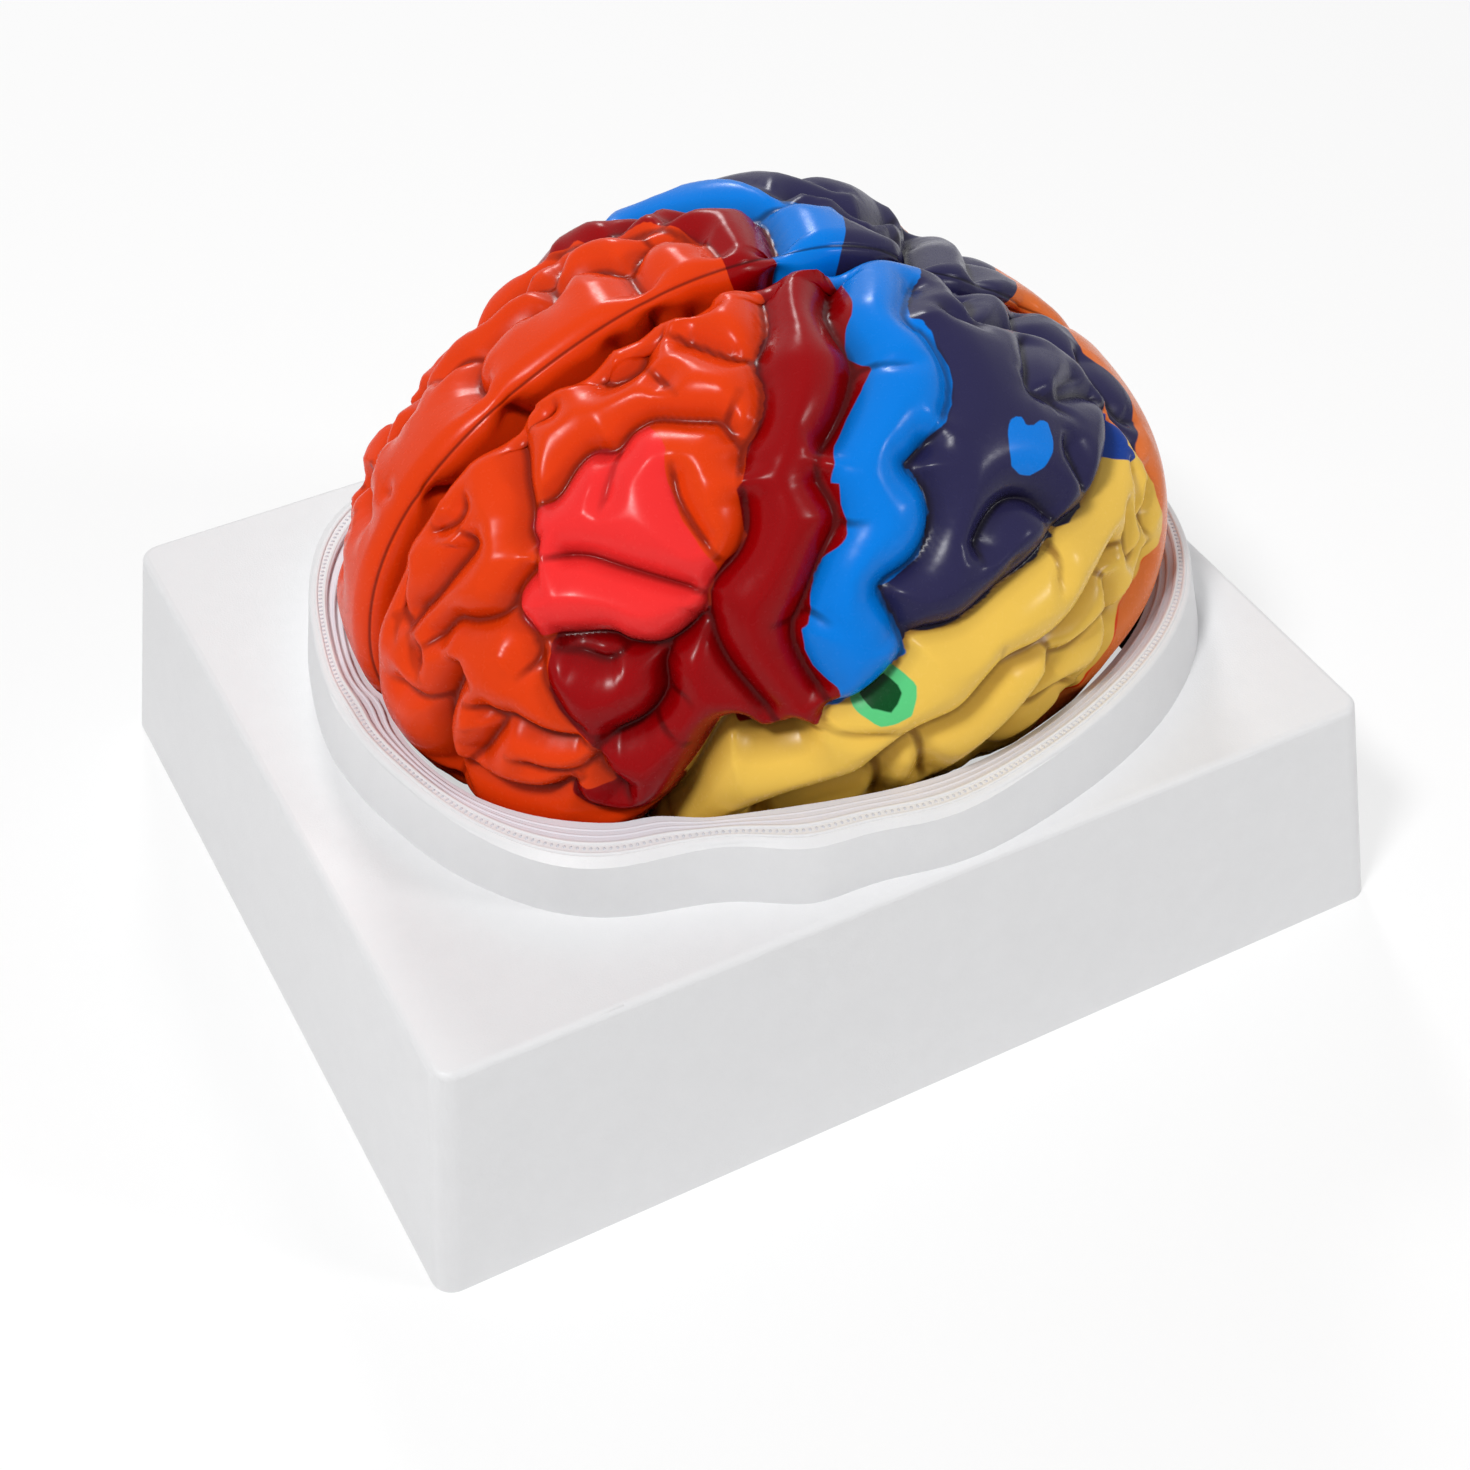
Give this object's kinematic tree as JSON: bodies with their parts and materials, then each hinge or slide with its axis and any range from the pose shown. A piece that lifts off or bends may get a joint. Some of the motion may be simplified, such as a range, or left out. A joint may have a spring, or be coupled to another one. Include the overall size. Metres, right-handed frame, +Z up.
{
  "type": "brain anatomy model",
  "caption": "Life-size brain model in two painted halves, standing in the oval opening of a hollow white display stand.",
  "frame": {"origin": "middle of the stand's underside", "axes": "+X from the frontal to the occipital pole, along the stand's long side; +Z up"},
  "size_m": [0.22, 0.1822, 0.1412],
  "materials": {
    "stand_plastic": "satin moulded plastic",
    "cortex_paint": "hand-painted moulded plastic, satin lacquer",
    "peg_plastic": "plain moulded plastic"
  },
  "bodies": {
    "root": {"base_stand": "stand_plastic", "left_hemisphere": "cortex_paint", "right_hemisphere": "cortex_paint", "locating_peg_front": "peg_plastic", "locating_peg_rear": "peg_plastic"}
  },
  "joints": []
}
